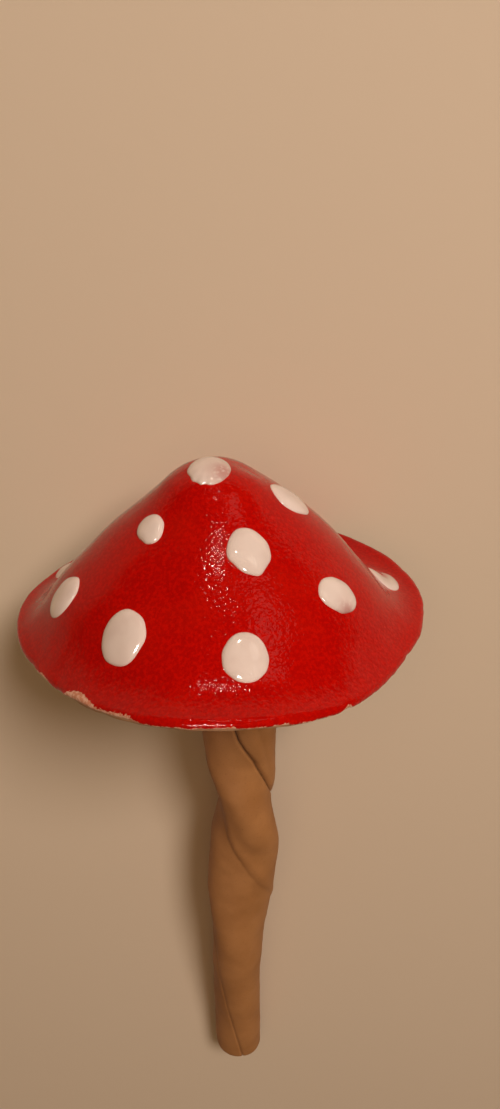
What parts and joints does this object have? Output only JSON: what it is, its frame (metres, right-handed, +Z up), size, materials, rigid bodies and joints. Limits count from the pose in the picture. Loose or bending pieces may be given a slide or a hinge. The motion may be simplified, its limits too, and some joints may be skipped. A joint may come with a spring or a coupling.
{
  "type": "ceramic toadstool ornament",
  "caption": "Hand-built ceramic fly agaric toadstool: a tall red glazed slab cap with raised white spots on a long twisted bare clay stem, lying on its side.",
  "frame": {"origin": "on the surface it lies on, under the middle of the whole toadstool's box", "axes": "+Z up from the surface, +Y from the stem's free end towards the cap's peak, +X to the right when looking down on the cap's front with the peak away from the viewer"},
  "size_m": [0.1434, 0.3079, 0.1332],
  "materials": {
    "bare_clay": "matte unglazed fired clay, light tan",
    "stem_clay": "matte unglazed fired clay, brown, smoothed by hand",
    "red_glaze": "glossy red glaze with fine speckle",
    "white_glaze": "thick glossy white glaze"
  },
  "bodies": {
    "root": {"cap_clay": "bare_clay", "red_glaze": "red_glaze", "stem": "stem_clay", "collar": "stem_clay", "crown_spot": "white_glaze", "front_high_spot": "white_glaze", "front_low_spot": "white_glaze", "left_low_spot": "white_glaze", "left_high_spot": "white_glaze", "left_spot": "white_glaze", "right_high_spot": "white_glaze", "right_low_spot": "white_glaze", "right_spot": "white_glaze", "back_left_spot": "white_glaze", "back_high_spot": "white_glaze", "back_low_spot": "white_glaze", "back_right_spot": "white_glaze", "back_small_spot": "white_glaze"}
  },
  "joints": []
}
